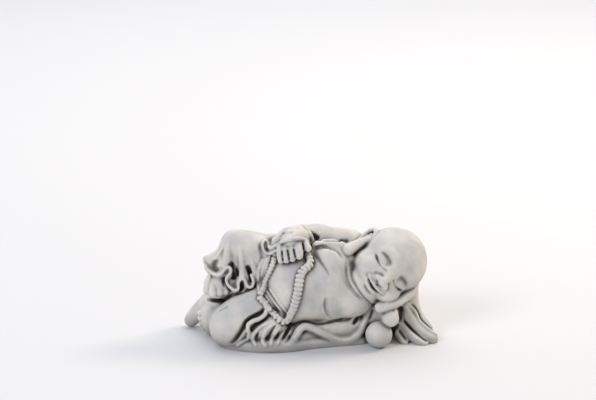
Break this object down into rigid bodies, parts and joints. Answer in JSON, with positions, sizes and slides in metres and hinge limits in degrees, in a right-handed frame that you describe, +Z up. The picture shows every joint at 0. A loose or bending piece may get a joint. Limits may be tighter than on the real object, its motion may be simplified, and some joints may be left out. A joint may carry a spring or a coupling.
{
  "type": "garden buddha statue",
  "caption": "Cast stone garden figure of a reclining bald man in a loose robe, head on one hand, holding a bead string, with a gourd beside him and a flat underside.",
  "frame": {"origin": "centre of the statue's bounds, on the flat underside", "axes": "+X along the statue from the feet to the head, -Y towards its front, +Z up"},
  "size_m": [0.3002, 0.123, 0.1386],
  "materials": {
    "cast_stone": "dry cast concrete, pale grey, with a darker wash left in the folds"
  },
  "bodies": {
    "root": {"reclining_buddha": "cast_stone"}
  },
  "joints": []
}
